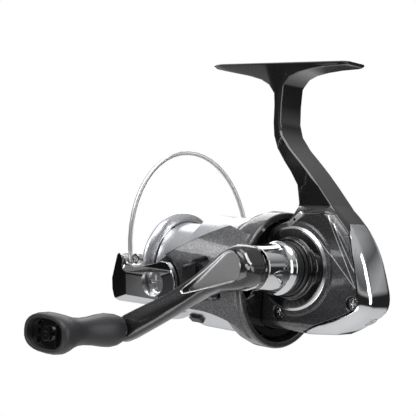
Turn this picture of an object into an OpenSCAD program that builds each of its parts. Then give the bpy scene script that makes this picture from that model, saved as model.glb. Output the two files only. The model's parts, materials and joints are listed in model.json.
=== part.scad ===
// Spinning fishing reel with the handle on its left side.
// Everything is modelled about the spool axis: +X points forward along it, +Y points to the
// handle side and +Z points up to the rod. on_foot() then moves it so that the middle of the
// foot's seat is the origin.

/* [Foot and stem] */
// Length of the foot along the rod
foot_length = 68; // [62:1:70]
// Width of the foot across the rod
foot_width = 13.9; // [12:0.1:16]
// Height of the foot's seat above the spool axis
seat_height = 85.5; // [84:0.5:88]
// Distance of the handle axis behind the middle of the foot
handle_setback = 19.5; // [18:0.5:21]

/* [Spool] */
// Radius of the spool's front lip
lip_radius = 23; // [22:0.5:23]
// Radius of the spool's skirt
skirt_radius = 23.2; // [23:0.1:23.2]
// Radius of the floor that the line is wound on
line_floor_radius = 18.8; // [12:0.1:20]

/* [Handle] */
// Distance from the handle axis to the knob's axis
crank_length = 50; // [48:1:54]
// Angle of the crank below the forward direction at rest
crank_angle = 33; // [0:1:60]
// Length of the knob
knob_length = 36; // [32:1:38]

/* [Rotor] */
// Angle of the rotor about the spool axis at rest
rotor_rest = -7.6; // [-30:0.1:30]
// Radius of the bail wire
wire_radius = 0.95; // [0.7:0.05:1.1]

/* [Gears] */
// Teeth on the drive gear
drive_teeth = 52; // [52:1:52]
// Teeth on the pinion
pinion_teeth = 10; // [10:1:10]
// Teeth on the small gear of the drive shaft
feed_teeth = 14; // [14:1:14]
// Teeth on the oscillation gear
oscillation_teeth = 28; // [28:1:28]

/* [Hidden] */
$fn = 64;

// Running clearance between a shaft and its hole, and the gap between separate moving pieces
fit = 0.06;
gap = 0.4;
seam = 0.45;

// Thread radius of the covers' screws
screw_r = 0.85;

// Where the handle axis crosses above the spool axis
handle_up = 6.1;
boss_face = 14.3;
hub_inner = 34.4;

// Housing
wall_left = 7.4;
wall_right = -8;
housing_front = 20.5;
shell = 1.5;

// Main shaft and gear train
shaft_r = 1.5;
drive_shaft_r = 3.4;
pinion_pitch_r = 3.0;
mesh_reach = pinion_pitch_r * drive_teeth / pinion_teeth;
face_width = 3;
disc_r = 17.4;
tooth_high = 0.45;
tooth_low = 0.75;
feed_module = 0.8;
feed_high = 0.7;
feed_low = 1.0;
feed_pitch_r = feed_module * feed_teeth / 2;
oscillation_pitch_r = feed_module * oscillation_teeth / 2;
oscillation_x = -14.8;
oscillation_z = handle_up - sqrt(pow(feed_pitch_r + oscillation_pitch_r, 2) - pow(oscillation_x, 2));
feed_y0 = 3.4;
feed_y1 = 6.4;
throw = 7;

// Rotor and bail
rim_x = 11.3;
rim_r = 27;
rim_inner_r = 24.4;
drum_r = 21.2;
pivot_x = 49.4;
pivot_r = 2.5;
lever_in = 29.4;
lever_out = 36.4;
lever_rear_r = 10.9;
wire_x = 65.4;

// Spool
lip_x = 69.7;
groove_x0 = 47.1;
groove_x1 = 65.4;
skirt_x = 27;

// Knob place
knob_x = crank_length * cos(crank_angle);
knob_z = handle_up - crank_length * sin(crank_angle);
knob_y0 = 59;
knob_y1 = knob_y0 + knob_length;

// ---------------------------------------------------------------- helpers

// Moves the reel so that its origin is the middle of the foot's seat
module on_foot() {
    translate([-handle_setback, 0, -seat_height]) children();
}

// Turns what is built on the upright rotor to the angle at which the rotor rests
module on_rotor() {
    on_foot() rotate([rotor_rest, 0, 0]) children();
}

// Stands a shape drawn along Z on the spool axis, from x forward
module along_x(x = 0) {
    translate([x, 0, 0]) rotate([0, 90, 0]) children();
}

// Lays a shape drawn along Z on an axis parallel to Y, from y towards the handle
module along_y(y = 0, x = 0, z = 0) {
    translate([x, y, z]) rotate([-90, 0, 0]) children();
}

// Extrudes a side view, drawn as X and Z, from y0 to y1
module side_slab(y0, y1) {
    translate([0, y1, 0]) rotate([90, 0, 0]) linear_extrude(y1 - y0) children();
}

// Extrudes a front view, drawn as Y and Z, from x0 to x1
module front_slab(x0, x1) {
    translate([x0, 0, 0]) rotate([90, 0, 90]) linear_extrude(x1 - x0) children();
}

// A plain ring about the local Z axis
module ring(outer, inner, height) {
    difference() {
        cylinder(r = outer, h = height);
        translate([0, 0, -1]) cylinder(r = inner, h = height + 2);
    }
}

// A pan-head screw along Z, head up, with its underside at z = 0 and a cross in its head
module screw(head_r, head_h, thread_r, length) {
    difference() {
        union() {
            cylinder(r = head_r, h = head_h, $fn = 32);
            translate([0, 0, -length]) cylinder(r = thread_r, h = length + 0.1, $fn = 24);
        }
        for (turn = [0, 90])
            rotate([0, 0, turn])
                translate([-head_r * 0.62, -head_r * 0.12, head_h * 0.45])
                    cube([head_r * 1.24, head_r * 0.24, head_h]);
    }
}

// A point on the smooth curve through four neighbouring points
function blend4(a, b, c, d, t) =
    0.5 * ((2 * b) + (c - a) * t + (2 * a - 5 * b + 4 * c - d) * t * t
        + (3 * b - a - 3 * c + d) * t * t * t);

// The smooth open curve through a list of points, with a number of steps between each two
function smooth(p, steps = 4) = [
    for (i = [0 : len(p) - 2])
        for (s = [0 : steps - 1])
            blend4(p[max(i - 1, 0)], p[i], p[i + 1], p[min(i + 2, len(p) - 1)], s / steps),
    p[len(p) - 1]
];

// An outline drawn in towards a centre by a fixed distance
function shrink(p, centre, by) = [for (q = p) q - by * (q - centre) / norm(q - centre)];

// A closed solid through rings of points, each with the same number of points
module loft(rings) {
    n = len(rings[0]);
    m = len(rings);
    polyhedron(
        points = [for (r = rings) for (q = r) q],
        faces = concat(
            [[for (i = [0 : n - 1]) i]],
            [[for (i = [n - 1 : -1 : 0]) (m - 1) * n + i]],
            [for (j = [0 : m - 2]) for (i = [0 : n - 1])
                [j * n + i, (j + 1) * n + (i + 1) % n, j * n + (i + 1) % n]],
            [for (j = [0 : m - 2]) for (i = [0 : n - 1])
                [j * n + i, (j + 1) * n + i, (j + 1) * n + (i + 1) % n]]),
        convexity = 4);
}

// A rounded rectangle as a superellipse: half sizes a and b, squareness from 2 (ellipse) up
function superellipse(a, b, power, n) = [for (i = [0 : n - 1])
    let (t = 360 * i / n, c = cos(t), s = sin(t))
        [a * sign(c) * pow(abs(c), 2 / power), b * sign(s) * pow(abs(s), 2 / power)]];

// The outline of a spur gear with straight-sided teeth, the first tooth centred on angle 0
function gear_outline(teeth, pitch_r, high, low, share) = [
    for (i = [0 : teeth - 1])
        let (pitch = 360 / teeth, half = pitch * share / 2)
            for (k = [[-1.3, -low], [-0.62, high], [0.62, high], [1.3, -low]])
                let (angle = i * pitch + k[0] * half, r = pitch_r + k[1])
                    [r * cos(angle), r * sin(angle)]
];

// ---------------------------------------------------------------- housing

// Side view of the gearbox where it is widest, walked from the stem round the rear
function housing_side() = concat([[2.4, 30.4], [-12.6, 31.6]],
    smooth([[-16.4, 28.6], [-22.9, 22.2], [-28.3, 13.9], [-32.2, 3.6], [-33.7, -2.8],
        [-32.2, -7.9], [-25.2, -13.5], [-18.8, -17]], 3),
    [[-7, -18.4], [housing_front, -18.6], [housing_front, 21.4], [9.6, 23.3], [5.4, 25.9]]);

// Facets across the gearbox: place in Y and how far the side view is drawn in there
housing_steps = [[9.9, 4.2], [9, 2.6], [7, 0.9], [4.6, 0], [-4.6, 0], [-7.6, 0.9], [-9.8, 3],
    [-10.6, 5]];

// The closed outer form of the gearbox, drawn in by a distance on each side
module housing_form(by = 0) {
    loft([for (v = housing_steps)
        [for (q = shrink(housing_side(), [-4, 4], v[1] + by))
            [q[0], v[0] - sign(v[0]) * by, q[1]]]]);
}

// Side view of what the bright rear cover takes, behind and below the seam
function cover_region() = concat(
    smooth([[-15.4, 30], [-18.8, 27], [-21.9, 22.4], [-25.6, 13.5], [-28.6, 4], [-29.9, -3],
        [-28.6, -6.6],
        [-24, -9.4], [-17.8, -12.2], [-11.6, -14.8], [-5, -18]], 3),
    [[-5, -25], [-45, -25], [-45, 33], [-15.4, 33]]);

module cover_slab(move = 0) {
    translate([move, 0, move]) side_slab(-20, 20) polygon(cover_region());
}

stem_rings = [
    // height, rear x, front x, rear half width, front half width
    [26, -17.5, 4.6, 7.0, 5.2], [31, -13.4, 4.5, 6.95, 4.4], [38, -6.8, 6.6, 6.9, 3.7],
    [43, -1.8, 10.6, 6.9, 3.3], [47, 2.6, 14.4, 6.9, 3.1], [52, 8.3, 18.4, 6.9, 3.0],
    [57, 12.6, 20.6, 6.9, 3.0], [62, 14.4, 21.4, 6.9, 3.0], [69, 14.8, 21.7, 6.9, 3.0],
    [76, 14.6, 22.6, 6.9, 3.0], [81, 12, 27, 6.9, 3.6]];

function stem_section(v) = [for (q = [
    [v[1], -v[3] + 1], [v[1] + 0.3, -v[3] + 0.3], [v[1] + 1.2, -v[3]],
    [v[2] - 2, -v[4] - 0.9], [v[2] - 0.6, -v[4]], [v[2], -v[4] + 1.3],
    [v[2], v[4] - 1.3], [v[2] - 0.6, v[4]], [v[2] - 2, v[4] + 0.9],
    [v[1] + 1.2, v[3]], [v[1] + 0.3, v[3] - 0.3], [v[1], v[3] - 1]]) [q[0], q[1], v[0]]];

foot_mid = handle_setback;
foot_sections = [
    // distance from the middle as a share of the half length, underside height,
    // half width at the top as a share, half width at the bottom
    [-1, 84.3, 0.8, 5], [-0.975, 84.1, 0.92, 5.8], [-0.92, 83.9, 0.99, 6.3],
    [-0.7, 83.5, 1, 6.5], [-0.5, 82.7, 1, 6.6], [-0.34, 81.6, 1, 6.8], [-0.22, 79.8, 1, 6.85],
    [-0.14, 76.5, 1, 6.9], [0.06, 73.5, 1, 3.3], [0.15, 77.2, 1, 3.4], [0.27, 79.3, 1, 3.7],
    [0.42, 80.6, 1, 4.3], [0.6, 81.7, 1, 4.9], [0.8, 82.8, 1, 5.2], [0.91, 83.5, 0.96, 5.2],
    [0.97, 83.9, 0.82, 4.4], [1, 84.2, 0.56, 3]];

function foot_section(v) = let (
    x = foot_mid + v[0] * foot_length / 2,
    top = v[2] * foot_width / 2)
    [for (q = [[-v[3] + 0.6, v[1] - seat_height], [v[3] - 0.6, v[1] - seat_height],
        [v[3], v[1] + 0.35 - seat_height], [top - 0.1, -0.8], [top, -0.45], [top - 0.5, 0],
        [-top + 0.5, 0], [-top, -0.45], [-top + 0.1, -0.8], [-v[3], v[1] + 0.35 - seat_height]])
        [x, q[0], q[1] + seat_height]];

module stem_and_foot() {
    loft([for (v = stem_rings) stem_section(v)]);
    loft([for (v = foot_sections) foot_section(v)]);
}

// The hollow that holds the gear train
module gear_space() {
    intersection() {
        side_slab(wall_right, wall_left + 0.01)
            polygon([[-28, 3], [-27.4, -7], [-22, -12.6], [-12, -15.4], [18.9, -15.4],
                [18.9, 18.4], [14, 20.8], [9, 22.6], [5.6, 24.1], [2, 24.9], [-8, 25.4], [-16, 22],
                [-24, 12]]);
        union() {
            along_y(wall_right - 0.01, 0, handle_up) cylinder(r = disc_r + 1.5, h = 8.4);
            along_y(feed_y0 - 0.4, oscillation_x, oscillation_z) cylinder(r = 12.4, h = 8);
            along_y(feed_y0 - 0.4, 0, handle_up) cylinder(r = 7, h = 8);
            translate([-26.5, -3.6, -12]) cube([27.3, 7.2, 14.6]);
            along_y(-7, 0, handle_up) cylinder(r = 7.5, h = 14);
            along_x(12) cylinder(r = 4.2, h = 8);
            along_x(-1) cylinder(r = 2.2, h = 14);
        }
    }
}

module front_flange() {
    difference() {
        union() {
            along_x(14) cylinder(r = 22.6, h = 6.5);
            along_x(20) cylinder(r = 11.4, h = 9.2);
        }
        along_x(13) intersection() {
            cylinder(r = 19.6, h = 6.2);
            translate([-30, wall_right, -1]) cube([60, 15.4, 8]);
        }
    }
}

module body_frame() {
    color([0.2, 0.2, 0.21]) on_foot() difference() {
        union() {
            difference() {
                housing_form();
                cover_slab(seam);
                translate([-50, wall_left, -30]) cube([100, 20, 58]);
            }
            intersection() {
                housing_form(shell + 0.4);
                translate([-50, -20, -30]) cube([100, 20 + wall_left, 60]);
            }
            stem_and_foot();
            front_flange();
            // right-hand boss around the drive shaft
            along_y(-14.2, 0, handle_up) cylinder(r1 = 9.6, r2 = 13.5, h = 5);
        }
        gear_space();
        // seats of the bearings, the clutch and the guide rod
        along_y(-12.8, 0, handle_up) cylinder(r = 6.0, h = 6);
        along_y(-15, 0, handle_up) cylinder(r = 4.6, h = 8);
        along_x(5.4) cylinder(r = 4.3, h = 3.1);
        along_x(18) cylinder(r = 4.4, h = 12);
        along_x(18.6) cylinder(r = 6.5, h = 12);
        along_x(23) cylinder(r = 9.5, h = 7);
        translate([-26.6, 0, -8.6]) rotate([0, 90, 0]) cylinder(r = 1.0, h = 31, $fn = 32);
        // holes that the covers' screws hold in
        cover_screw_place() cylinder(r = screw_r, h = 20, center = true, $fn = 24);
        for (p = screw_places) along_y(p[2] - 6, p[0], p[1]) cylinder(r = screw_r, h = 6.1, $fn = 24);
    }
}

module side_cover() {
    color([0.22, 0.22, 0.23]) on_foot() difference() {
        union() {
            difference() {
                intersection() {
                    housing_form();
                    translate([-50, wall_left, -30]) cube([63.8, 9.8 - wall_left, 57.9]);
                }
                cover_slab(seam);
            }
            // stepped boss around the handle axis
            intersection() {
                along_y(0, 0, handle_up) rotate_extrude($fn = 96) polygon([
                    [0, wall_left], [18, wall_left], [18, 10.2], [17.6, 10.5], [15.8, 10.7],
                    [15.2, 11.6], [14.6, 12], [11.8, 12.3], [11.5, boss_face - 0.4],
                    [11.1, boss_face], [0, boss_face]]);
                translate([-50, 0, -17.5]) cube([60.6, 20, 46]);
            }
        }
        along_y(6, 0, handle_up) cylinder(r = 4.6, h = 12);
        along_y(9.2, 0, handle_up) cylinder(r = 6.0, h = 3.51);
        along_y(12.7, 0, handle_up) cylinder(r = 8.6, h = 4);
        // sunk seats and through holes of the screws, and the hole of the gear's axle
        for (p = screw_places) {
            along_y(p[2], p[0], p[1]) cylinder(r = 2.7, h = 8, $fn = 32);
            along_y(0, p[0], p[1]) cylinder(r = screw_r + fit, h = 20, $fn = 24);
        }
        along_y(6, oscillation_x, oscillation_z) cylinder(r = 1.6, h = 2.2, $fn = 32);
    }
}

// Places of the side cover's screws: x, z and the depth of each seat
screw_places = [[-27.6, -4.2, 7.9], [5.6, -11.4, 8]];

module side_cover_screws() {
    color("silver") on_foot() for (p = screw_places)
        along_y(p[2], p[0], p[1]) screw(2.1, 0.9, screw_r, 5.2);
}

module rear_cover() {
    color([0.78, 0.79, 0.8]) on_foot() difference() {
        intersection() {
            housing_form();
            cover_slab();
        }
        housing_form(shell);
        cover_screw_place() cylinder(r = screw_r + fit, h = 20, center = true, $fn = 24);
        cover_screw_place() translate([0, 0, -0.5]) cylinder(r = 2.3, h = 8, $fn = 32);
    }
}

// The rear cover's screw points down and back, square to the cover's lower facet
module cover_screw_place() {
    translate([-28.2, -3.4, -11.2]) rotate([0, -142, 0]) children();
}

module rear_cover_screw() {
    color("silver") on_foot() cover_screw_place() translate([0, 0, -0.5]) screw(2.1, 0.8, screw_r, 4);
}

module front_plate() {
    color("silver") on_foot() difference() {
        hull() {
            along_y(6.4, 5.4, 22.4) cylinder(r = 1.5, h = 3.2, $fn = 24);
            along_y(6.4, 0.6, 26.4) cylinder(r = 1.5, h = 3.2, $fn = 24);
        }
        housing_form();
        along_y(0, 0, handle_up) cylinder(r = 18.05, h = 12);
    }
}

module retainer_plate() {
    color([0.5, 0.5, 0.52]) on_foot() along_x(29.2) difference() {
        cylinder(r = 11.4, h = 0.8);
        translate([0, 0, -1]) cylinder(r = 6.2, h = 3);
        for (k = [0 : 2])
            rotate([0, 0, 60 + 120 * k]) translate([8.9, 0, -1]) cylinder(r = 0.85, h = 3, $fn = 24);
    }
}

module retainer_screws() {
    color("silver") on_foot() for (k = [0 : 2])
        along_x(30) rotate([0, 0, 60 + 120 * k]) translate([8.9, 0, 0]) screw(1.5, 0.6, 0.8, 0.8);
}

module front_bearing() {
    color("silver") on_foot() along_x(18.6) ring(6.5, 3.5 + fit, 4.3);
}

module rear_bearing() {
    color("silver") on_foot() along_x(5.4) ring(4.3, 2.1 + fit, 3.0);
}

module drive_bearing_left() {
    color("silver") on_foot() along_y(9.2, 0, handle_up) ring(6.0, drive_shaft_r + fit, 3.5);
}

module drive_bearing_right() {
    color("silver") on_foot() along_y(-12.7, 0, handle_up) ring(6.0, drive_shaft_r + fit, 3.5);
}

module boss_seal() {
    color([0.08, 0.08, 0.09]) on_foot() along_y(12.7, 0, handle_up) rotate_extrude($fn = 64)
        polygon([[4, 0], [8.6, 0], [8.6, 1.6], [10.4, 1.6], [10.4, 2.2], [9.8, 2.6], [4, 2.6]]);
}

module roller_clutch() {
    color([0.45, 0.45, 0.47]) on_foot() along_x(23) difference() {
        cylinder(r = 9.5, h = 6.2);
        translate([0, 0, -1]) cylinder(r = 5 + fit, h = 9);
    }
}

module guide_rod() {
    color("silver") on_foot() translate([-26.6, 0, -8.6]) rotate([0, 90, 0])
        cylinder(r = 1.0, h = 31, $fn = 32);
}

module oscillation_axle() {
    color("silver") on_foot() along_y(feed_y0 - 0.2, oscillation_x, oscillation_z)
        cylinder(r = 1.6, h = 8.2 - feed_y0 + 0.2, $fn = 32);
}

// ---------------------------------------------------------------- drive

// Teeth that stand on the drive gear's rim, along lines that pass the axis at handle_up
module face_teeth() {
    tooth_base = 1.15;
    tooth_tip = 0.5;
    for (i = [0 : drive_teeth - 1])
        rotate([0, 360 * i / drive_teeth, 0])
            translate([mesh_reach - face_width / 2, 0, -handle_up])
                front_slab(0, face_width) polygon([[-tooth_low - 0.1, -tooth_base / 2],
                    [tooth_high, -tooth_tip / 2], [tooth_high, tooth_tip / 2],
                    [-tooth_low - 0.1, tooth_base / 2]]);
}

module drive_gear() {
    root_y = -pinion_pitch_r - tooth_low;
    color([0.72, 0.66, 0.5]) on_foot() translate([0, 0, handle_up]) difference() {
        union() {
            along_y(0) rotate_extrude($fn = 104) polygon([[drive_shaft_r - 0.5, -7.6],
                [disc_r - 0.3, -7.6], [disc_r, -7.3], [disc_r, root_y], [14, root_y], [13.4, -6.2],
                [drive_shaft_r - 0.5, -6.2]]);
            along_y(-12.8) cylinder(r = drive_shaft_r, h = 25.7);
            along_y(feed_y0) rotate([0, 0, feed_phase]) linear_extrude(feed_y1 - feed_y0)
                polygon(gear_outline(feed_teeth, feed_pitch_r, feed_high, feed_low, 0.42));
            translate([0, -pinion_pitch_r, 0]) face_teeth();
        }
        along_y(-14) cylinder(r = 2.3, h = 30);
        for (k = [0 : 5])
            rotate([0, 60 * k + 30, 0]) translate([9.6, 0, 0]) along_y(-8) cylinder(r = 2.6, h = 3);
    }
}

// Direction from the drive axis to the oscillation gear's axis, in the gears' own plane,
// where the local Y axis points down
mesh_angle = atan2(handle_up - oscillation_z, oscillation_x);
feed_phase = mesh_angle;
oscillation_phase = mesh_angle + 180 + 180 / oscillation_teeth;

module handle_shaft() {
    color("silver") on_foot() translate([0, 0, handle_up]) {
        along_y(-6) cylinder(r = 2.2, h = 21.4, $fn = 6);
        along_y(15.7) cylinder(r = 5, h = hub_inner - 15.7);
    }
}

module handle_flange() {
    color([0.08, 0.08, 0.09]) on_foot() translate([0, 0, handle_up]) along_y(15.7)
        rotate_extrude($fn = 64) polygon([[5, 0], [9.4, 0], [9.8, 0.4], [9.8, 1.2], [9.3, 1.5],
            [9.8, 1.8], [9.8, 2.8], [9.3, 3.1], [9.3, 3.6], [5, 3.6]]);
}

module handle_collar() {
    color([0.8, 0.8, 0.82]) on_foot() translate([0, 0, handle_up]) along_y(19.3)
        rotate_extrude($fn = 72) polygon([[5, 0], [9.7, 0], [10.2, 0.5], [10.2, 1.6], [9.8, 2.2],
            [9.2, 3], [8.9, 4.5], [8.2, 15.1], [5, 15.1]]);
}

// Crank: distance along it, lower and upper reach across it, half thickness and middle in Y
crank_sections = [[-8.2, 3, 3, 4.6, 41.4], [-7.2, 5.4, 5.4, 5.8, 41.3],
    [-5, 7.3, 7.3, 6.5, 41.2], [-1.5, 8.2, 8.2, 6.8, 41.2], [3, 7.2, 8.2, 6.6, 41.4],
    [9, 4.4, 7.4, 5.9, 42.2], [16, 3.0, 6.0, 5.0, 43.9], [23, 3.2, 5.1, 4.3, 46.2],
    [30, 4.0, 4.6, 3.9, 48.7], [37, 4.6, 4.6, 3.6, 51.2], [43, 4.9, 4.8, 3.5, 53.2],
    [48, 5, 5, 3.4, 54.4], [52, 4.5, 4.5, 3.2, 54.9], [54.6, 2.6, 2.6, 2.4, 55.1]];

module crank_arm() {
    color([0.16, 0.16, 0.17]) on_foot() translate([0, 0, handle_up]) rotate([0, crank_angle, 0])
        difference() {
            union() {
                loft([for (v = crank_sections)
                    [for (q = superellipse(v[3], 1, 3, 20))
                        [v[0], v[4] + q[0], q[1] * (q[1] < 0 ? v[1] : v[2])]]]);
                along_y(hub_inner) cylinder(r = 8.2, h = 4);
            }
            // tear-shaped hollow in the outer face
            translate([0, 60, 0]) rotate([90, 0, 0]) linear_extrude(60 - 45.6) hull() {
                translate([0.2, 0.8]) circle(r = 5.4, $fn = 32);
                translate([21.4, 1.9]) circle(r = 0.8, $fn = 16);
            }
            along_y(hub_inner - 1) cylinder(r = 5, h = 5);
            along_y(40, crank_length, 0) cylinder(r = 2.2, h = 20, $fn = 32);
        }
}

module handle_screw() {
    color([0.8, 0.8, 0.82]) on_foot() translate([0, 0, handle_up]) {
        along_y(-18.4) rotate_extrude($fn = 64)
            polygon([[0, 0], [5.8, 0], [7.4, 0.6], [8, 1.4], [8, 3.4], [7.6, 3.8], [0, 3.8]]);
        along_y(-14.7) cylinder(r = 2.25, h = 8.6, $fn = 32);
    }
}

module knob_post() {
    color("silver") on_foot() along_y(52, knob_x, knob_z) {
        cylinder(r = 2.2, h = 34, $fn = 32);
        translate([0, 0, 6]) cylinder(r = 3.6, h = 0.65, $fn = 32);
    }
}

module knob_screw() {
    color("silver") on_foot() along_y(86, knob_x, knob_z) difference() {
        cylinder(r = 3.4, h = 1.6, $fn = 32);
        for (turn = [0, 90]) rotate([0, 0, turn]) translate([-2, -0.4, 0.8]) cube([4, 0.8, 2]);
    }
}

// ---------------------------------------------------------------- knob

// Knob: distance along it as a share of its length, half width in X, half height in Z
knob_sections = [[0, 4.4, 4.4], [0.03, 5.2, 5.1], [0.1, 6.3, 5.9], [0.18, 6.7, 6.2],
    [0.28, 6.4, 5.9], [0.4, 5.6, 5.2], [0.52, 5.2, 4.9], [0.62, 5.7, 5.1], [0.71, 7.1, 5.8],
    [0.8, 9.2, 6.7], [0.88, 10.9, 7.3], [0.94, 11.7, 7.2], [0.98, 11.5, 6.8], [1, 11, 6.4]];

module knob_grip() {
    color([0.13, 0.13, 0.14]) on_foot() difference() {
        translate([knob_x, knob_y0, knob_z]) loft([for (v = knob_sections)
            [for (q = superellipse(v[1], v[2], 2.5, 28)) [q[0], v[0] * knob_length, -q[1]]]]);
        along_y(knob_y0 - 1, knob_x, knob_z) cylinder(r = 2.2 + fit, h = 40, $fn = 32);
        // socket of the screw and shallow recess of the cap
        along_y(85, knob_x, knob_z) cylinder(r = 4.2, h = 20, $fn = 32);
        translate([knob_x, knob_y1 + 1, knob_z]) rotate([90, 0, 0]) linear_extrude(5)
            polygon(superellipse(9.6, 5.4, 2.6, 28));
    }
}

module knob_cap() {
    color([0.05, 0.05, 0.06]) on_foot() difference() {
        union() {
            translate([knob_x, knob_y1 - 2.4, knob_z]) rotate([90, 0, 0]) linear_extrude(1.6)
                polygon(superellipse(9.4, 5.2, 2.6, 28));
            along_y(knob_y1 - 2.5, knob_x, knob_z) cylinder(r = 2.6, h = 1.7, $fn = 32);
            for (side = [-1, 1])
                translate([knob_x + side * 5 - 0.4, knob_y1 - 2.5, knob_z - 4])
                    cube([0.8, 1.2, 8]);
        }
        along_y(knob_y1 - 1.6, knob_x, knob_z) cylinder(r = 0.7, h = 3, $fn = 24);
    }
}

// ---------------------------------------------------------------- oscillation

module oscillation_gear() {
    color([0.75, 0.72, 0.6]) on_foot() translate([oscillation_x, 0, oscillation_z]) difference() {
        union() {
            along_y(feed_y0) rotate([0, 0, oscillation_phase])
                linear_extrude(feed_y1 - feed_y0) polygon(gear_outline(oscillation_teeth,
                    oscillation_pitch_r, feed_high, feed_low, 0.42));
            // eccentric pin that drives the slider
            rotate([0, -135, 0]) along_y(feed_y0 - 0.4, throw, 0)
                cylinder(r = 1.4, h = 1, $fn = 32);
        }
        along_y(0) cylinder(r = 1.6 + fit, h = 10, $fn = 32);
    }
}

module main_shaft() {
    color("silver") on_foot() along_x(-17) cylinder(r = shaft_r, h = 92.4, $fn = 48);
}

module oscillation_slider() {
    color([0.6, 0.58, 0.5]) on_foot() difference() {
        translate([-18, -2.1, -11]) cube([6, 4.6, 13.3]);
        along_x(-17) cylinder(r = shaft_r, h = 20, $fn = 48);
        translate([-30, 0, -8.6]) rotate([0, 90, 0]) cylinder(r = 1.0 + fit, h = 30, $fn = 32);
        translate([-16.4, 2, -10.4]) cube([2.9, 2, 15]);
        along_x(-19) cylinder(r = 0.8, h = 4, $fn = 24);
    }
}

module slider_screw() {
    color("silver") on_foot() translate([-18, 0, 0]) rotate([0, -90, 0]) screw(1.5, 0.8, 0.8, 1);
}

module spool_seat() {
    color([0.85, 0.85, 0.8]) on_foot() along_x(42) ring(4.4, shaft_r, 2.6);
}

// ---------------------------------------------------------------- spool

module spool() {
    color([0.82, 0.83, 0.86]) on_foot() along_x() difference() {
        rotate_extrude($fn = 96) polygon([[shaft_r + fit, 44.7], [7, 44.7], [8, 45.5],
            [skirt_radius - 1.2, 45.5], [skirt_radius - 1.2, skirt_x], [skirt_radius - 0.3, skirt_x],
            [skirt_radius, skirt_x + 0.4], [skirt_radius, groove_x0 - 0.5],
            [skirt_radius - 0.5, groove_x0], [line_floor_radius + 0.8, groove_x0],
            [line_floor_radius, groove_x0 + 0.8], [line_floor_radius, groove_x1 - 0.8],
            [line_floor_radius + 0.8, groove_x1], [lip_radius - 3.4, groove_x1],
            [lip_radius - 3.4, lip_x - 1.2], [16.4, lip_x - 1.2],
            [15, 60], [12, 58.5], [12, 56], [shaft_r + fit, 56]]);
        // lightening holes in the skirt's front wall
        for (k = [0 : 7])
            rotate([0, 0, 45 * k + 20]) translate([14, 0, 40]) cylinder(r = 2, h = 14, $fn = 32);
    }
}

module spool_lip_ring() {
    color([0.9, 0.9, 0.92]) on_foot() along_x() rotate_extrude($fn = 96) polygon([
        [lip_radius - 3.4, groove_x1], [lip_radius - 1.8, groove_x1 + 0.6],
        [lip_radius - 0.5, lip_x - 2.6], [lip_radius, lip_x - 1.7], [lip_radius, lip_x - 0.8],
        [lip_radius - 0.8, lip_x], [lip_radius - 2.6, lip_x], [lip_radius - 3.4, lip_x - 0.8]]);
}

module line_clip() {
    color([0.35, 0.35, 0.37]) on_foot() rotate([217, 0, 0])
        translate([groove_x0 - 6.4, -1.6, skirt_radius]) difference() {
            cube([6, 3.2, 1.3]);
            translate([3, -1, 0.5]) cube([4, 6, 0.5]);
        }
}

module drag_washers() {
    color([0.3, 0.28, 0.25]) on_foot() for (k = [0 : 2])
        along_x(56 + 0.8 * k) ring(11.6 - 0.3 * (k % 2), 2, 0.8);
}

module drag_snap_ring() {
    color("silver") on_foot() along_x(58.6) difference() {
        ring(12, 10.6, 0.6);
        translate([8, -1.5, -1]) cube([6, 3, 3]);
    }
}

module drag_knob() {
    color([0.12, 0.12, 0.13]) on_foot() along_x() difference() {
        union() {
            rotate_extrude($fn = 96) polygon([[0, 59.8], [8.4, 59.8], [8.4, 66.2], [13.6, 67.4],
                [14.4, 68.6], [14.4, 74], [13.8, 75.4], [12, 76.2], [0, 76.2]]);
            translate([0, 0, 76]) cylinder(r1 = 10.5, r2 = 9.4, h = 1.4);
        }
        translate([0, 0, 50]) cylinder(r = shaft_r + fit, h = 25.6, $fn = 48);
        translate([0, 0, 59]) cylinder(r = 5.2, h = 6);
        for (k = [0 : 19])
            rotate([0, 0, 18 * k]) translate([15, 0, 66]) cylinder(r = 1.2, h = 12, $fn = 16);
    }
}

module drag_spring() {
    color("silver") on_foot() along_x(60) spring(4.8, 3.6, 0.8, 1.25, 4);
}

// ---------------------------------------------------------------- rotor

module pinion() {
    color([0.78, 0.68, 0.42]) on_foot() difference() {
        union() {
            along_x(5.4) cylinder(r = 2.1, h = 8.2, $fn = 48);
            along_x(13.4) rotate([0, 0, pinion_phase]) linear_extrude(4.6)
                polygon(gear_outline(pinion_teeth, pinion_pitch_r, 0.45, 0.72, 0.36));
            along_x(17.9) cylinder(r = 3.5, h = 18.6, $fn = 48);
        }
        along_x(0) cylinder(r = shaft_r + fit, h = 50, $fn = 48);
    }
}

// With the drive gear's tooth on the line of centres, the pinion turns a gap towards it:
// the gear lies on the pinion's -Y side
pinion_phase = -90 + 180 / pinion_teeth;

module clutch_sleeve() {
    color("silver") on_foot() along_x(23.1) ring(5, 3.5, 8.3);
}

// Side view of one rotor arm with its window
module arm_side() {
    difference() {
        polygon(concat(
            smooth([[14, 26.8], [20, 24.8], [30.4, 20.2], [40, 14.8], [48.8, 9.9]], 3),
            [[51, 8.4], [54.4, 6.4], [56.6, 3.2], [57.2, 0], [56.6, -3.4], [54.2, -6.8],
                [50, -8.6]],
            smooth([[46, -9], [34.7, -9.6], [26, -10.8], [18, -14.6], [14, -21]], 3)));
        hull() {
            translate([22.4, -2.6]) circle(r = 2, $fn = 24);
            translate([34.8, -3.4]) circle(r = 2, $fn = 24);
            translate([35.2, 6.6]) circle(r = 2, $fn = 24);
            translate([28.4, 9.4]) circle(r = 2, $fn = 24);
        }
    }
}

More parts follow.
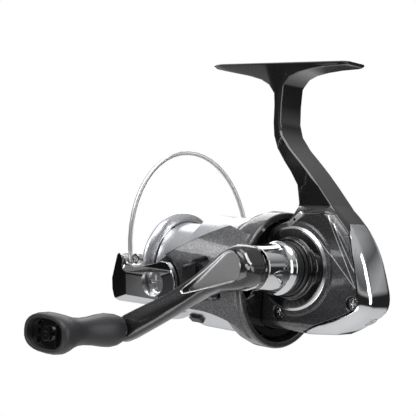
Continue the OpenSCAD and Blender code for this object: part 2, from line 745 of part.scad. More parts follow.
// Both arms, cut from a cone that opens towards the front
module rotor_arms() {
    for (half = [0, 180]) rotate([half, 0, 0]) difference() {
        intersection() {
            side_slab(18, 40) mirror([0, half / 180, 0]) arm_side();
            along_x() rotate_extrude($fn = 96) polygon([[rim_inner_r, 12], [rim_r - 0.2, 12],
                [28.4, 20], [30.6, 30], [33.2, 42], [35.5, 60], [26.2, 60], [26.2, 38],
                [24.2, 38], [24.2, 24.5], [rim_inner_r, 24.5]]);
        }
        // clear the swing of the bail's lever
        along_y(lever_in - gap, pivot_x, 0) cylinder(r = lever_rear_r + gap, h = 20);
        along_y(10, pivot_x, 0) cylinder(r = pivot_r - 0.6, h = 40, $fn = 32);
        translate([pivot_x - 13.3, lever_in - gap, -14]) cube([13, 12, 12.2]);
        if (half == 180) translate([41.6, 24, -1.4]) cube([5.6, 4.5, 2.8]);
    }
}

module rotor() {
    color([0.24, 0.24, 0.25]) on_rotor() difference() {
        union() {
            along_x() rotate_extrude($fn = 96) polygon([
                [rim_inner_r, rim_x], [rim_r - 0.5, rim_x], [rim_r, rim_x + 0.6],
                [rim_r, 18], [rim_r - 1, 21.6], [24.6, 24.2], [drum_r, 24.4], [drum_r, 41.6],
                [drum_r - 0.6, 42], [drum_r - 1.6, 42], [drum_r - 1.6, 34], [5, 34], [3.5, 34],
                [3.5, 31.6], [14, 31.6], [drum_r - 1.6, 29], [drum_r - 1.6, 22.2],
                [rim_inner_r - 0.8, 21.2], [rim_inner_r, 20]]);
            rotor_arms();
        }
        // windows in the drum wall between the arms
        for (side = [-1, 1])
            translate([31, 0, side * 20]) rotate([side * 90, 0, 0])
                cube([9, 12, 20], center = true);
        // counterbored holes in the drum's web
        for (k = [0 : 3])
            rotate([90 * k + 45, 0, 0]) along_x(30) translate([13, 0, 0]) cylinder(r = 2, h = 6, $fn = 32);
    }
}

module rotor_nut() {
    color("silver") on_foot() along_x(34) difference() {
        cylinder(r = 6, h = 2.6, $fn = 6);
        translate([0, 0, -1]) cylinder(r = 3.5, h = 6);
    }
}

module nut_lock() {
    color("silver") on_rotor() {
        translate([34, 6.2, -2.2]) cube([0.8, 6.6, 4.4]);
        translate([34.8, 10.4, 0]) rotate([0, 90, 0]) screw(1.5, 0.7, 0.7, 0.6);
    }
}

// A plate that closes an arm from the inside; sign is +1 on the handle side
module arm_cover(sign) {
    on_rotor() difference() {
        intersection() {
            rotate([sign > 0 ? 0 : 180, 0, 0]) side_slab(20, 40)
                polygon([[41.2, 6], [53, 5.4], [55.6, 0], [53, -5.4], [41.2, -6]]);
            along_x(41.2) ring(26.2, 24.95, 15);
        }
        along_y(-50, pivot_x, 0) cylinder(r = 1.6, h = 100, $fn = 32);
    }
}

module arm_cover_left() { color([0.1, 0.1, 0.11]) arm_cover(1); }

module arm_cover_right() { color([0.1, 0.1, 0.11]) arm_cover(-1); }

module bail_pivot_screws() {
    color("silver") on_rotor() for (side = [1, -1]) rotate([side > 0 ? 0 : 180, 0, 0]) {
        along_y(lever_out - 4 + fit, pivot_x, 0)
            screw(4.2, 1.2, pivot_r, lever_out - 4 + fit - lever_in + gap);
        along_y(lever_in - 3.1, pivot_x, 0) cylinder(r = pivot_r - 0.6, h = 3.3, $fn = 32);
    }
}

// A spring drawn as a stack of turns along Z, joined to each other by short links
module spring(outer, inner, wire, pitch, turns) {
    for (k = [0 : turns - 1]) {
        translate([0, 0, k * pitch]) ring(outer, inner, wire, $fn = 32);
        if (k < turns - 1)
            translate([(k % 2 == 0 ? 1 : -1) * (outer + inner) / 2 - wire / 2, -wire / 2,
                k * pitch + wire / 2]) cube([wire, wire, pitch]);
    }
}

module bail_spring() {
    color("silver") on_rotor() translate([41.9, -27.5, 0]) rotate([0, 90, 0])
        spring(1, 0.55, 0.45, 1.1, 5);
}

module trip_lever() {
    color([0.6, 0.6, 0.62]) on_rotor() translate([14.4, -24.32, -1.4]) difference() {
        cube([5.4, 1.4, 2.8]);
        translate([2.6, -1, 1.4]) rotate([-90, 0, 0]) cylinder(r = 0.7, h = 8, $fn = 24);
    }
}

// ---------------------------------------------------------------- bail

// Side view of the lever on the handle side
module lever_side() {
    difference() {
        polygon([[42, -8.4], [52, -9.6], [70.5, -10], [73.2, -8.8], [74.4, -5.6], [74.5, -1],
            [70.2, 9.2], [68.8, 10.2], [67.2, 9.6], [65.2, 6.2], [60, 5.2], [53, 6.6], [46, 8.6],
            [36, 8.6], [36, -8.4]]);
        difference() {
            translate([34, -14]) square([pivot_x - 34, 28]);
            translate([pivot_x, 0]) circle(r = lever_rear_r, $fn = 96);
        }
    }
}

module bail_arm() {
    color([0.6, 0.6, 0.62]) on_rotor() difference() {
        intersection() {
            side_slab(lever_in, lever_out) lever_side();
            // facet along the bottom
            front_slab(30, 80) polygon([[lever_in, -11], [34, -11], [lever_out, -6.6],
                [lever_out, 12], [lever_in, 12]]);
            // the nose narrows towards the front
            translate([0, 0, -20]) linear_extrude(50) polygon([[30, lever_in], [80, lever_in],
                [80, 33.4], [64, lever_out], [46, lever_out], [36, 34.2]]);
        }
        // facet along the top, up to the nose
        front_slab(30, 66.6) polygon([[lever_out + 1, 1.4], [lever_out, 2.4], [34.6, 5.6],
            [34.6, 14], [lever_out + 1, 14]]);
        along_y(20, pivot_x, 0) cylinder(r = pivot_r + fit, h = 30, $fn = 48);
        along_y(lever_out - 4, pivot_x, 0) cylinder(r = 5.4, h = 10, $fn = 64);
        along_y(lever_in - 1, roller_x, 3) cylinder(r = 0.9, h = 5, $fn = 24);
        // socket of the wire
        translate([wire_x, wire_half, 3]) cylinder(r = wire_radius, h = 10, $fn = 24);
    }
}

module bail_cam() {
    color([0.3, 0.3, 0.32]) on_rotor() difference() {
        side_slab(-35.4, -lever_in) {
            translate([pivot_x, 0]) circle(r = 8.2, $fn = 64);
            polygon([[pivot_x, -8.2], [58, -4.6], [61.6, -2.8], [62.6, 1.4], [61.4, 4.6],
                [57, 5.4], [pivot_x, 8.2]]);
        }
        along_y(-50, pivot_x, 0) cylinder(r = pivot_r + fit, h = 60, $fn = 48);
        rotate([180, 0, 0]) along_y(lever_out - 4, pivot_x, 0) cylinder(r = 5.4, h = 10);
        translate([wire_far_x, -wire_half, 0]) cylinder(r = wire_radius, h = 10, $fn = 24);
    }
}

// Middle line of the bail wire in the rotor's frame: an arch over the spool whose two feet
// run straight down into the lever and the cam
wire_top = 48.8;
wire_half = 32.2;
wire_far_x = 58;
roller_x = 67;
function wire_path() = concat(
    [[wire_x, wire_half, 4.5]],
    [for (a = [0 : 7.5 : 180])
        let (lean = (1 - cos(a)) / 2)
            [wire_x + (wire_far_x - wire_x) * lean + 1.2 * sin(a), wire_half * cos(a),
                10 - 5 * lean + (wire_top - 7.5) * pow(sin(a), 0.96)]],
    [[wire_far_x, -wire_half, 1]]);

function unit(v) = v / norm(v);

// Rings of a round tube along a path that lies close to a plane square to X
function tube_rings(path, r, n) = [for (i = [0 : len(path) - 1])
    let (along = unit(path[min(i + 1, len(path) - 1)] - path[max(i - 1, 0)]),
        across = unit(cross([1, 0, 0], along)), third = cross(along, across))
        [for (k = [0 : n - 1]) path[i] + r * (across * cos(360 * k / n) + third * sin(360 * k / n))]];

module bail_wire() {
    color("silver") on_rotor() loft(tube_rings(wire_path(), wire_radius - 0.02, 14));
}

module wire_clamp() {
    color("silver") on_rotor() along_y(30.6, 61.6, 7.9) ring(2.2, 1, 2.4);
}

module roller_screw() {
    color("silver") on_rotor() along_y(0, roller_x, 3) {
        translate([0, 0, 24.9]) cylinder(r = 2.4, h = 0.6, $fn = 32);
        translate([0, 0, 25]) cylinder(r = 1.5, h = 4.4, $fn = 32);
        translate([0, 0, 29]) cylinder(r = 0.88, h = 3.2, $fn = 24);
    }
}

module line_roller() {
    color([0.8, 0.75, 0.55]) on_rotor() along_y(25.6, roller_x, 3) rotate_extrude($fn = 48)
        polygon([[1.5 + fit, 0], [3.4, 0], [3.6, 0.3], [2.7, 1.3], [2.6, 1.9], [2.9, 2.8],
            [3.6, 3.2], [3.4, 3.5], [1.5 + fit, 3.5]]);
}

// ---------------------------------------------------------------- nodes

body_frame();
side_cover();
side_cover_screws();
rear_cover();
rear_cover_screw();
front_plate();
retainer_plate();
retainer_screws();
front_bearing();
rear_bearing();
drive_bearing_left();
drive_bearing_right();
boss_seal();
roller_clutch();
guide_rod();
oscillation_axle();
drive_gear();
handle_shaft();
handle_flange();
handle_collar();
crank_arm();
handle_screw();
knob_post();
knob_screw();
knob_grip();
knob_cap();
oscillation_gear();
main_shaft();
oscillation_slider();
slider_screw();
spool_seat();
spool();
spool_lip_ring();
line_clip();
drag_washers();
drag_snap_ring();
drag_knob();
drag_spring();
pinion();
clutch_sleeve();
rotor();
rotor_nut();
nut_lock();
arm_cover_left();
arm_cover_right();
bail_pivot_screws();
bail_spring();
trip_lever();
bail_arm();
bail_cam();
bail_wire();
wire_clamp();
roller_screw();
line_roller();
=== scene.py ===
import json
import math

import bpy
from mathutils import Matrix, Vector


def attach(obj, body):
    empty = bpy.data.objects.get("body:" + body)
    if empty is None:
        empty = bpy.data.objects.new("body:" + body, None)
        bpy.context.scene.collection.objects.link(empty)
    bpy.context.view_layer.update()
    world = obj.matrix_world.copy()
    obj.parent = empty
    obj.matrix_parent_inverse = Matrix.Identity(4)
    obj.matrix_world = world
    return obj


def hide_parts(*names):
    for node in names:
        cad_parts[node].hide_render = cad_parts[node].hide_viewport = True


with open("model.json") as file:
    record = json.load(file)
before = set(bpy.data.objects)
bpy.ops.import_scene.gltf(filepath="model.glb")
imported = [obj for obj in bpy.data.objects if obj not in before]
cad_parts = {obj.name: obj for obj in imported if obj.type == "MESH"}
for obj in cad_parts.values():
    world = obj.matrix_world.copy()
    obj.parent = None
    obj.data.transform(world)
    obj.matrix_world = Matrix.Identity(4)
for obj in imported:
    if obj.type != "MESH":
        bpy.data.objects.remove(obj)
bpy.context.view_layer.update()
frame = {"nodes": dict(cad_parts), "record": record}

MM = 0.001
bodies = frame["record"]["behaviour"]["bodies"]
body_of = {node: body for body, nodes in bodies.items() for node in nodes}
slot_of = {part["node"]: part["material_slot"] for part in frame["record"]["subparts"]}

# Where the spool axis, the handle axis and the rotor stand, counted from the foot's seat
SETBACK = 19.5
SEAT = 85.5
HANDLE_UP = 6.1
ROTOR_REST = math.radians(-7.6)
BAIL_PIVOT_X = 29.9

# Where the finish changes inside one piece, and where painted shade starts on the bail arm's outer
# facets and behind the spool's lip, in millimetres
SEAL_RIM = (15.1, 16)
BOSS_STEP_Y = 10.6
TEARDROP_FLOOR_Y = 45.6
LEVER_SHADED_FACET_Y = 34
PIVOT_CAP_RADIUS = 5.8
SPOOL_LIP_SHADOW_X = 30

# Points closer than this are one point, in metres
MERGE_DISTANCE = 0.00003


def reel(x, y, z):
    """A point counted from the spool axis under the handle, in millimetres."""
    return Vector((x - SETBACK, y, z - SEAT)) * MM


# ---------------------------------------------------------------- camera and studio

def add_camera():
    data = bpy.data.cameras.new("camera")
    data.sensor_width, data.lens = 36, 93.86
    data.clip_start, data.clip_end = 0.01, 50
    camera = bpy.data.objects.new("camera", data)
    bpy.context.scene.collection.objects.link(camera)
    right = Vector((-0.74012, -0.66804, 0.07711))
    up = Vector((0.06682, 0.04105, 0.99691))
    back = Vector((-0.66914, 0.74299, 0.01426))
    camera.matrix_world = Matrix((
        (right.x, up.x, back.x, -0.27037), (right.y, up.y, back.y, 0.33964),
        (right.z, up.z, back.z, -0.05313), (0, 0, 0, 1)))
    bpy.context.scene.camera = camera


def softbox(name, place, aim, width, height, watts):
    bpy.ops.object.light_add(type="AREA", location=place)
    lamp = bpy.context.object
    lamp.name = name
    lamp.data.shape = "RECTANGLE"
    lamp.data.size, lamp.data.size_y = width, height
    lamp.data.energy = watts
    lamp.rotation_euler = (Vector(aim) - Vector(place)).to_track_quat("-Z", "Y").to_euler()
    lamp.visible_camera = False


def add_studio():
    middle = (0, 0, -0.07)
    softbox("top_box", (-0.1, 0.2, 0.6), middle, 0.6, 0.4, 2.6)
    softbox("right_box", (-0.75, -0.25, 0.1), middle, 0.3, 0.7, 2.0)
    softbox("low_box", (-0.15, 0.6, -0.5), middle, 0.5, 0.3, 1.0)
    softbox("back_box", (0.5, -0.5, 0.35), middle, 0.6, 0.4, 1.6)
    softbox("side_box", (0.15, 0.75, 0.4), middle, 0.5, 0.3, 2.4)

    world = bpy.data.worlds.new("studio")
    bpy.context.scene.world = world
    world.use_nodes = True
    nodes, links = world.node_tree.nodes, world.node_tree.links
    nodes.clear()
    place = nodes.new("ShaderNodeTexCoord")
    split = nodes.new("ShaderNodeSeparateXYZ")
    height = nodes.new("ShaderNodeMapRange")
    height.inputs["From Min"].default_value = -1
    ramp = nodes.new("ShaderNodeValToRGB")
    walls = [(0.0, 0.75), (0.3, 0.6), (0.37, 0.02), (0.56, 0.02), (0.63, 0.4), (0.7, 0.1),
        (0.84, 0.5), (1.0, 0.6)]
    while len(ramp.color_ramp.elements) < len(walls):
        ramp.color_ramp.elements.new(0.5)
    for element, (spot, level) in zip(ramp.color_ramp.elements, walls):
        element.position, element.color = spot, (level, level, level * 1.01, 1)
    path = nodes.new("ShaderNodeLightPath")
    room = nodes.new("ShaderNodeBackground")
    paper = nodes.new("ShaderNodeBackground")
    paper.inputs["Color"].default_value = (1, 1, 1, 1)
    mix = nodes.new("ShaderNodeMixShader")
    out = nodes.new("ShaderNodeOutputWorld")
    links.new(place.outputs["Generated"], split.inputs[0])
    links.new(split.outputs["Z"], height.inputs["Value"])
    links.new(height.outputs["Result"], ramp.inputs["Fac"])
    links.new(ramp.outputs["Color"], room.inputs["Color"])
    links.new(path.outputs["Is Camera Ray"], mix.inputs["Fac"])
    links.new(room.outputs[0], mix.inputs[1])
    links.new(paper.outputs[0], mix.inputs[2])
    links.new(mix.outputs[0], out.inputs["Surface"])
    bpy.context.scene.view_settings.view_transform = "Standard"


# ---------------------------------------------------------------- finishes

def new_group(name, numbers, outputs):
    """A node group that reads Object coordinates and has the named number inputs."""
    tree = bpy.data.node_groups.new(name, "ShaderNodeTree")
    for label, value in numbers.items():
        kind = "NodeSocketColor" if label == "Colour" else "NodeSocketFloat"
        socket = tree.interface.new_socket(label, in_out="INPUT", socket_type=kind)
        socket.default_value = value
    for label, kind in outputs:
        tree.interface.new_socket(label, in_out="OUTPUT", socket_type="NodeSocket" + kind)
    inside, outside = tree.nodes.new("NodeGroupInput"), tree.nodes.new("NodeGroupOutput")
    place = tree.nodes.new("ShaderNodeTexCoord")
    return tree, inside, outside, place


def noise_in(tree, place, scale, detail=3.0):
    noise = tree.nodes.new("ShaderNodeTexNoise")
    noise.inputs["Scale"].default_value = scale
    noise.inputs["Detail"].default_value = detail
    tree.links.new(place.outputs["Object"], noise.inputs["Vector"])
    return noise


def between(tree, value, low, high, from_min=0.0, from_max=1.0):
    """Spreads a value over a new range; low and high may be sockets."""
    spread = tree.nodes.new("ShaderNodeMapRange")
    spread.inputs["From Min"].default_value = from_min
    spread.inputs["From Max"].default_value = from_max
    tree.links.new(value, spread.inputs["Value"])
    for label, level in (("To Min", low), ("To Max", high)):
        if hasattr(level, "is_linked"):
            tree.links.new(level, spread.inputs[label])
        else:
            spread.inputs[label].default_value = level
    return spread.outputs["Result"]


def arithmetic(tree, what, first, second):
    node = tree.nodes.new("ShaderNodeMath")
    node.operation = what
    for k, level in enumerate((first, second)):
        if hasattr(level, "is_linked"):
            tree.links.new(level, node.inputs[k])
        else:
            node.inputs[k].default_value = level
    return node.outputs[0]


def tinted(tree, colour, factor):
    """A colour made lighter or darker by a factor that changes over the surface."""
    grey = tree.nodes.new("ShaderNodeCombineColor")
    for k in range(3):
        tree.links.new(factor, grey.inputs[k])
    mix = tree.nodes.new("ShaderNodeMix")
    mix.data_type, mix.blend_type = "RGBA", "MULTIPLY"
    mix.inputs["Factor"].default_value = 1
    tree.links.new(colour, mix.inputs["A"])
    tree.links.new(grey.outputs[0], mix.inputs["B"])
    return mix.outputs["Result"]


def bump(tree, height, depth):
    """The normal of a relief whose depth, in millimetres, may be a socket."""
    node = tree.nodes.new("ShaderNodeBump")
    node.inputs["Strength"].default_value = 1
    metres = arithmetic(tree, "MULTIPLY", depth, MM)
    tree.links.new(metres, node.inputs["Distance"])
    tree.links.new(height, node.inputs["Height"])
    return node.outputs["Normal"]


SURFACE = [("Colour", "Color"), ("Roughness", "Float"), ("Normal", "Vector")]


def flake_paint_group():
    """Metallic paint: fine bright flakes in a dark coat, slightly uneven."""
    tree, inside, outside, place = new_group("flake_paint", {"Colour": (0.1, 0.1, 0.1, 1),
        "Flake": 0.5, "Roughness": 0.3, "Depth": 0.01}, SURFACE)
    cells = tree.nodes.new("ShaderNodeTexVoronoi")
    cells.inputs["Scale"].default_value = 3600
    tree.links.new(place.outputs["Object"], cells.inputs["Vector"])
    pick = tree.nodes.new("ShaderNodeSeparateColor")
    tree.links.new(cells.outputs["Color"], pick.inputs[0])
    flake = between(tree, pick.outputs[0], 0.0, 1.0, 0.55, 1.0)
    cloud = noise_in(tree, place, 60)
    lift = arithmetic(tree, "MULTIPLY", flake, inside.outputs["Flake"])
    uneven = between(tree, cloud.outputs["Fac"], 0.9, 1.1)
    factor = arithmetic(tree, "ADD", lift, uneven)
    tree.links.new(tinted(tree, inside.outputs["Colour"], factor), outside.inputs["Colour"])
    spread = between(tree, cloud.outputs["Fac"], -0.03, 0.03)
    rough = arithmetic(tree, "ADD", inside.outputs["Roughness"], spread)
    tree.links.new(arithmetic(tree, "SUBTRACT", rough, arithmetic(tree, "MULTIPLY", flake, 0.06)),
        outside.inputs["Roughness"])
    tree.links.new(bump(tree, pick.outputs[1], inside.outputs["Depth"]), outside.inputs["Normal"])
    return tree


def polish_group():
    """Polished or plated metal: almost even, with faint haze and hairlines."""
    tree, inside, outside, place = new_group("polish", {"Colour": (0.8, 0.8, 0.8, 1),
        "Roughness": 0.06, "Haze": 0.04, "Depth": 0.0002}, SURFACE)
    cloud = noise_in(tree, place, 90, 4)
    stretch = tree.nodes.new("ShaderNodeMapping")
    stretch.inputs["Scale"].default_value = (30, 900, 900)
    stretch.inputs["Rotation"].default_value = (0.3, 0.2, 0.5)
    tree.links.new(place.outputs["Object"], stretch.inputs["Vector"])
    hairs = tree.nodes.new("ShaderNodeTexNoise")
    hairs.inputs["Scale"].default_value = 3
    tree.links.new(stretch.outputs[0], hairs.inputs["Vector"])
    factor = between(tree, cloud.outputs["Fac"], 0.94, 1.04)
    tree.links.new(tinted(tree, inside.outputs["Colour"], factor), outside.inputs["Colour"])
    haze = arithmetic(tree, "MULTIPLY", inside.outputs["Haze"],
        between(tree, hairs.outputs["Fac"], 0.0, 1.0, 0.35, 0.8))
    tree.links.new(arithmetic(tree, "ADD", inside.outputs["Roughness"], haze),
        outside.inputs["Roughness"])
    tree.links.new(bump(tree, hairs.outputs["Fac"], inside.outputs["Depth"]),
        outside.inputs["Normal"])
    return tree


def turned_group():
    """Turned metal: fine rings round the spool axis, uneven in depth."""
    tree, inside, outside, place = new_group("turned", {"Colour": (0.8, 0.8, 0.8, 1),
        "Roughness": 0.2, "Rings": 900.0, "Depth": 0.001}, SURFACE)
    split = tree.nodes.new("ShaderNodeSeparateXYZ")
    tree.links.new(place.outputs["Object"], split.inputs[0])
    down = arithmetic(tree, "ADD", split.outputs["Z"], SEAT * MM)
    radius = arithmetic(tree, "SQRT", arithmetic(tree, "ADD",
        arithmetic(tree, "MULTIPLY", split.outputs["Y"], split.outputs["Y"]),
        arithmetic(tree, "MULTIPLY", down, down)), 0)
    walk = arithmetic(tree, "ADD", radius, split.outputs["X"])
    line = tree.nodes.new("ShaderNodeTexNoise")
    line.noise_dimensions = "1D"
    line.inputs["Detail"].default_value = 2
    line.inputs["Scale"].default_value = 1
    tree.links.new(arithmetic(tree, "MULTIPLY", walk, inside.outputs["Rings"]), line.inputs["W"])
    tree.links.new(tinted(tree, inside.outputs["Colour"],
        between(tree, line.outputs["Fac"], 0.8, 1.12)), outside.inputs["Colour"])
    tree.links.new(arithmetic(tree, "ADD", inside.outputs["Roughness"],
        between(tree, line.outputs["Fac"], -0.06, 0.08)), outside.inputs["Roughness"])
    tree.links.new(bump(tree, line.outputs["Fac"], inside.outputs["Depth"]),
        outside.inputs["Normal"])
    return tree


def moulded_group():
    """Moulded plastic or rubber: fine spark grain and a slightly uneven sheen."""
    tree, inside, outside, place = new_group("moulded", {"Colour": (0.05, 0.05, 0.05, 1),
        "Roughness": 0.4, "Grain": 2200.0, "Depth": 0.01}, SURFACE)
    grain = tree.nodes.new("ShaderNodeTexNoise")
    grain.inputs["Detail"].default_value = 2
    tree.links.new(place.outputs["Object"], grain.inputs["Vector"])
    tree.links.new(inside.outputs["Grain"], grain.inputs["Scale"])
    cloud = noise_in(tree, place, 70)
    tree.links.new(tinted(tree, inside.outputs["Colour"],
        between(tree, cloud.outputs["Fac"], 0.85, 1.15)), outside.inputs["Colour"])
    tree.links.new(arithmetic(tree, "ADD", inside.outputs["Roughness"],
        between(tree, cloud.outputs["Fac"], -0.06, 0.06)), outside.inputs["Roughness"])
    tree.links.new(bump(tree, grain.outputs["Fac"], inside.outputs["Depth"]),
        outside.inputs["Normal"])
    return tree


def crease_highlight_group(lines):
    """A mask of thin straight lines where crease highlights are painted, each given as two X and Z
    points in millimetres.
    """
    tree, inside, outside, place = new_group("creases", {"Width": 0.16}, [("Mask", "Float")])
    split = tree.nodes.new("ShaderNodeSeparateXYZ")
    tree.links.new(place.outputs["Object"], split.inputs[0])
    across_x = arithmetic(tree, "MULTIPLY", split.outputs["X"], 1000)
    across_z = arithmetic(tree, "MULTIPLY", split.outputs["Z"], 1000)
    total = 0.0
    for (x0, z0), (x1, z1) in lines:
        length = math.hypot(x1 - x0, z1 - z0)
        along_x, along_z = (x1 - x0) / length, (z1 - z0) / length
        dx = arithmetic(tree, "SUBTRACT", across_x, x0)
        dz = arithmetic(tree, "SUBTRACT", across_z, z0)
        travel = arithmetic(tree, "ADD", arithmetic(tree, "MULTIPLY", dx, along_x),
            arithmetic(tree, "MULTIPLY", dz, along_z))
        off = arithmetic(tree, "ABSOLUTE", arithmetic(tree, "SUBTRACT",
            arithmetic(tree, "MULTIPLY", dx, along_z),
            arithmetic(tree, "MULTIPLY", dz, along_x)), 0)
        near = arithmetic(tree, "LESS_THAN", off, inside.outputs["Width"])
        on = arithmetic(tree, "MULTIPLY", arithmetic(tree, "GREATER_THAN", travel, 0),
            arithmetic(tree, "LESS_THAN", travel, length))
        total = arithmetic(tree, "MAXIMUM", total, arithmetic(tree, "MULTIPLY", near, on))
    tree.links.new(total, outside.inputs["Mask"])
    return tree


GROUPS = {"flake": flake_paint_group(), "polish": polish_group(), "turned": turned_group(),
    "moulded": moulded_group()}


def finish_of(name, group, colour, metallic, values, coat=0.0, coat_roughness=0.05, specular=0.5):
    """A material whose colour, roughness and relief come from one of the shared groups."""
    paint = bpy.data.materials.new(name)
    paint.use_nodes = True
    nodes, links = paint.node_tree.nodes, paint.node_tree.links
    shader = nodes["Principled BSDF"]
    surface = nodes.new("ShaderNodeGroup")
    surface.node_tree = GROUPS[group]
    surface.inputs["Colour"].default_value = (*colour, 1)
    for label, value in values.items():
        surface.inputs[label].default_value = value
    links.new(surface.outputs["Colour"], shader.inputs["Base Color"])
    links.new(surface.outputs["Roughness"], shader.inputs["Roughness"])
    links.new(surface.outputs["Normal"], shader.inputs["Normal"])
    shader.inputs["Metallic"].default_value = metallic
    shader.inputs["Coat Weight"].default_value = coat
    shader.inputs["Coat Roughness"].default_value = coat_roughness
    shader.inputs["Specular IOR Level"].default_value = specular
    return paint


FINISH = {
    "gunmetal": finish_of("gunmetal_paint", "flake", (0.07, 0.07, 0.073), 0.8,
        {"Flake": 1.6, "Roughness": 0.38, "Depth": 0.004}, coat=0.8),
    "crank_paint": finish_of("crank_paint", "flake", (0.036, 0.036, 0.038), 0.7,
        {"Flake": 0.8, "Roughness": 0.3, "Depth": 0.002}, coat=0.9),
    "gloss_frame": finish_of("gloss_black_frame", "flake", (0.012, 0.012, 0.013), 0.1,
        {"Flake": 0.25, "Roughness": 0.3, "Depth": 0.001}, coat=1.0, coat_roughness=0.03,
        specular=0.3),
    "chrome": finish_of("bright_plating", "polish", (0.78, 0.79, 0.8), 1.0,
        {"Roughness": 0.05, "Haze": 0.04}),
    "steel": finish_of("bright_steel", "polish", (0.6, 0.6, 0.61), 1.0,
        {"Roughness": 0.16, "Haze": 0.12}),
    "black_rubber": finish_of("black_rubber", "moulded", (0.015, 0.015, 0.016), 0.0,
        {"Roughness": 0.36, "Depth": 0.01}),
    "clutch_steel": finish_of("ground_steel", "turned", (0.35, 0.35, 0.36), 1.0,
        {"Roughness": 0.3}),
    "zinc": finish_of("cast_zinc", "flake", (0.5, 0.49, 0.47), 0.9,
        {"Flake": 0.1, "Roughness": 0.42, "Depth": 0.02}),
    "white_plastic": finish_of("white_acetal", "moulded", (0.75, 0.74, 0.7), 0.0,
        {"Roughness": 0.35, "Depth": 0.004}),
    "brass": finish_of("machined_brass", "turned", (0.72, 0.55, 0.27), 1.0,
        {"Roughness": 0.25}),
    "soft_grip": finish_of("soft_grip_rubber", "moulded", (0.035, 0.035, 0.038), 0.0,
        {"Roughness": 0.42, "Grain": 3200.0, "Depth": 0.012}),
    "gloss_black": finish_of("gloss_black_cap", "moulded", (0.006, 0.006, 0.007), 0.0,
        {"Roughness": 0.12, "Depth": 0.002}, coat=1.0),
    "black_plastic": finish_of("black_moulding", "moulded", (0.02, 0.02, 0.022), 0.0,
        {"Roughness": 0.34, "Depth": 0.008}),
    "spool_metal": finish_of("turned_aluminium", "turned", (0.78, 0.79, 0.82), 1.0,
        {"Roughness": 0.27, "Rings": 2400.0, "Depth": 0.001}),
    "satin": finish_of("satin_plating", "polish", (0.76, 0.76, 0.77), 1.0,
        {"Roughness": 0.2, "Haze": 0.03}),
    "drag_felt": finish_of("oiled_felt", "moulded", (0.16, 0.13, 0.09), 0.0,
        {"Roughness": 0.8, "Grain": 900.0, "Depth": 0.05}),
    "roller_metal": finish_of("gilded_roller", "polish", (0.8, 0.7, 0.45), 1.0,
        {"Roughness": 0.1}),
    "soft_rim": finish_of("brushed_rim", "polish", (0.86, 0.86, 0.87), 1.0,
        {"Roughness": 0.42, "Haze": 0.03}),
    # Dark plating: a real finish on broken edges, and also painted shade where it darkens the bail
    # arm's outer facets and the back of the spool's lip.
    "dark_chrome_and_painted_shade": finish_of("dark_plating_and_painted_shade", "polish", (0.16, 0.16, 0.17), 1.0,
        {"Roughness": 0.12, "Haze": 0.05}),
}


def add_crease_highlights(finish, light, lines):
    """Paints thin light lines over a finish along creases: painted highlights where the facet
    edges would catch the light.
    """
    nodes, links = finish.node_tree.nodes, finish.node_tree.links
    shader = nodes["Principled BSDF"]
    surface = shader.inputs["Base Color"].links[0].from_socket
    mask = nodes.new("ShaderNodeGroup")
    mask.node_tree = crease_highlight_group(lines)
    mix = nodes.new("ShaderNodeMix")
    mix.data_type = "RGBA"
    links.new(mask.outputs["Mask"], mix.inputs["Factor"])
    links.new(surface, mix.inputs["A"])
    mix.inputs["B"].default_value = (light, light, light, 1)
    links.new(mix.outputs["Result"], shader.inputs["Base Color"])


# The side cover's paint, with light lines painted along three creases that run down towards the
# rear screw: painted highlights where the facets meet.
FINISH["cover_with_painted_highlights"] = FINISH["gunmetal"].copy()
FINISH["cover_with_painted_highlights"].name = "painted_crease_highlights_on_cover"
add_crease_highlights(FINISH["cover_with_painted_highlights"], 0.7, [((-30.7, -67.4), (-47.9, -83.8)),
    ((-33.2, -58.2), (-48.1, -83.8)), ((-36, -61), (-47.7, -79.2))])


# ---------------------------------------------------------------- making pieces

def only(piece):
    if bpy.context.object and bpy.context.object.mode != "OBJECT":
        bpy.ops.object.mode_set(mode="OBJECT")
    bpy.ops.object.select_all(action="DESELECT")
    piece.select_set(True)
    bpy.context.view_layer.objects.active = piece


def paint(piece, finish):
    piece.data.materials.clear()
    piece.data.materials.append(FINISH[finish])


def dressed(node, finish=None, edge=0.25, steps=2, crease=32, smooth=None, rim=None, areas=(),
        flat=1, clamp=False):
    """A merged copy of a node with its edges broken and its facets shaded as one surface.

    rim names the finish of the broken edges where they are polished bare; areas holds pairs
    of a finish and a test that picks faces by their middle (in mm) and normal; flat is the
    angle, in degrees, under which neighbouring facets become one."""
    source = frame["nodes"][node]
    piece = source.copy()
    piece.data = source.data.copy()
    piece.parent = None
    piece.name = node + "_finished"
    bpy.context.scene.collection.objects.link(piece)
    only(piece)
    bpy.ops.object.mode_set(mode="EDIT")
    bpy.ops.mesh.select_all(action="SELECT")
    bpy.ops.mesh.remove_doubles(threshold=MERGE_DISTANCE)
    bpy.ops.mesh.dissolve_degenerate(threshold=MERGE_DISTANCE)
    if flat:
        bpy.ops.mesh.dissolve_limited(angle_limit=math.radians(flat))
    bpy.ops.object.mode_set(mode="OBJECT")
    if edge:
        broken = piece.modifiers.new("broken_edges", "BEVEL")
        broken.width = edge * MM
        broken.segments = steps
        broken.limit_method = "ANGLE"
        broken.angle_limit = math.radians(crease)
        broken.use_clamp_overlap = clamp
        paint(piece, finish or slot_of[node])
        if rim:
            piece.data.materials.append(FINISH[rim])
            broken.material = 1
        bpy.ops.object.modifier_apply(modifier=broken.name)
    else:
        paint(piece, finish or slot_of[node])
    for area, picked in areas:
        piece.data.materials.append(FINISH[area])
        for face in piece.data.polygons:
            if picked(face.center / MM, face.normal):
                face.material_index = len(piece.data.materials) - 1
    bpy.ops.object.shade_smooth_by_angle(angle=math.radians(smooth or crease))
    if edge:
        even = piece.modifiers.new("even_shading", "WEIGHTED_NORMAL")
        even.keep_sharp = True
        bpy.ops.object.modifier_apply(modifier=even.name)
    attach(piece, body_of[node])
    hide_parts(node)
    return piece


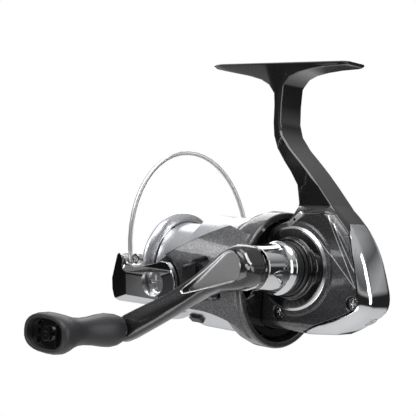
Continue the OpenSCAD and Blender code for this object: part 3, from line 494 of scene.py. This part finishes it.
def add_trim(low, high, width, depth):
    """The small bright plate at the stem's root, with a gloss black pin 0.06 mm proud of it as
    painted shade for its bore; it stands on the cover.
    """
    run = high - low
    turn = Matrix.Identity(3)
    turn.col[0] = run.normalized()
    turn.col[1] = Vector((0, 1, 0))
    turn.col[2] = turn.col[0].cross(turn.col[1])
    turn = turn.to_4x4()
    sizes = Matrix.Diagonal((run.length, depth * MM, width * MM, 1))
    bpy.ops.mesh.primitive_cube_add(size=1)
    plate = bpy.context.object
    plate.name = "front_plate_finished"
    plate.data.transform(Matrix.Translation((low + high) / 2) @ turn @ sizes)
    rounded = plate.modifiers.new("rounded", "BEVEL")
    rounded.width, rounded.segments = 0.4 * MM, 3
    bpy.ops.object.modifier_apply(modifier=rounded.name)
    bpy.ops.object.shade_smooth_by_angle(angle=math.radians(40))
    paint(plate, "soft_rim")
    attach(plate, body_of["front_plate"])
    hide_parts("front_plate")
    # The bore is not cut: the pin's black face is painted shade where the bore would be dark.
    bpy.ops.mesh.primitive_cylinder_add(vertices=32, radius=0.55 * MM, depth=depth * MM)
    shade_pin = bpy.context.object
    shade_pin.name = "front_plate_shade_pin"
    shade_pin.data.transform(Matrix.Translation((low + high) / 2 + Vector((0, 0.06 * MM, 0)))
        @ Matrix.Rotation(math.radians(-90), 4, "X"))
    bpy.ops.object.shade_smooth_by_angle(angle=math.radians(40))
    paint(shade_pin, "gloss_black")
    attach(shade_pin, body_of["front_plate"])


def from_handle(at):
    """Distance of a point from the handle axis, in millimetres."""
    return math.hypot(at.x + SETBACK, at.z + SEAT - HANDLE_UP)


def from_bail_pivot(at):
    """Distance of a point from the bail's pivot axis, in millimetres."""
    down = (at.z + SEAT) * math.cos(ROTOR_REST) - at.y * math.sin(ROTOR_REST)
    return math.hypot(at.x - BAIL_PIVOT_X, down)


# ---------------------------------------------------------------- the reel

add_camera()
add_studio()

for node, thing in frame["nodes"].items():
    paint(thing, slot_of[node])

dressed("body_frame", "gloss_frame", edge=0.25, crease=38, smooth=40, rim="dark_chrome_and_painted_shade",
    clamp=True)
dressed("side_cover", "cover_with_painted_highlights", edge=0.3, crease=34, areas=[
    ("gloss_black", lambda at, facing: from_handle(at) < SEAL_RIM[0] and at.y > BOSS_STEP_Y),
    ("satin", lambda at, facing: SEAL_RIM[0] < from_handle(at) < SEAL_RIM[1]
        and at.y > BOSS_STEP_Y)])
dressed("rear_cover", edge=0.35, steps=3, crease=24, smooth=28)
dressed("crank_arm", "crank_paint", edge=0.55, steps=3, crease=34, rim="soft_rim",
    areas=[("soft_rim", lambda at, facing: abs(at.y - TEARDROP_FLOOR_Y) < 0.1 and facing.y > 0.9)])
dressed("rotor", edge=0.35, crease=34)
# The bail arm's outer facets that face +Y get the dark plating: a painted dark reflection, not a
# different finish.
dressed("bail_arm", edge=0.4, steps=3, crease=24,
    areas=[("dark_chrome_and_painted_shade", lambda at, facing: facing.y > 0.96 and at.y > LEVER_SHADED_FACET_Y),
        ("satin", lambda at, facing: from_bail_pivot(at) < PIVOT_CAP_RADIUS)])
dressed("bail_cam", edge=0.4, crease=30)
dressed("knob_grip", edge=0.3, crease=40)
dressed("knob_cap", edge=0.2, rim="dark_chrome_and_painted_shade")
dressed("handle_collar", edge=0.15)
dressed("handle_flange", edge=0.12)
dressed("boss_seal", edge=0.15)
dressed("bail_wire", "soft_rim", edge=0, crease=60, flat=0)
dressed("wire_clamp", edge=0.25, steps=3)
# The spool's faces behind its front lip get the dark plating: a painted shadow behind the lip.
dressed("spool", edge=0.15,
    areas=[("dark_chrome_and_painted_shade", lambda at, facing: facing.x < -0.6 and at.x > SPOOL_LIP_SHADOW_X)])
dressed("spool_lip_ring", edge=0.15)
dressed("drag_knob", edge=0.2)
dressed("side_cover_screws", "satin", edge=0.12)
dressed("rear_cover_screw", edge=0.12)
dressed("bail_pivot_screws", "satin", edge=0.15)
dressed("handle_screw", edge=0.3)
add_trim(reel(3.8, 9.8, 21.9), reel(-2.4, 9.8, 27.5), width=2.0, depth=2.0)
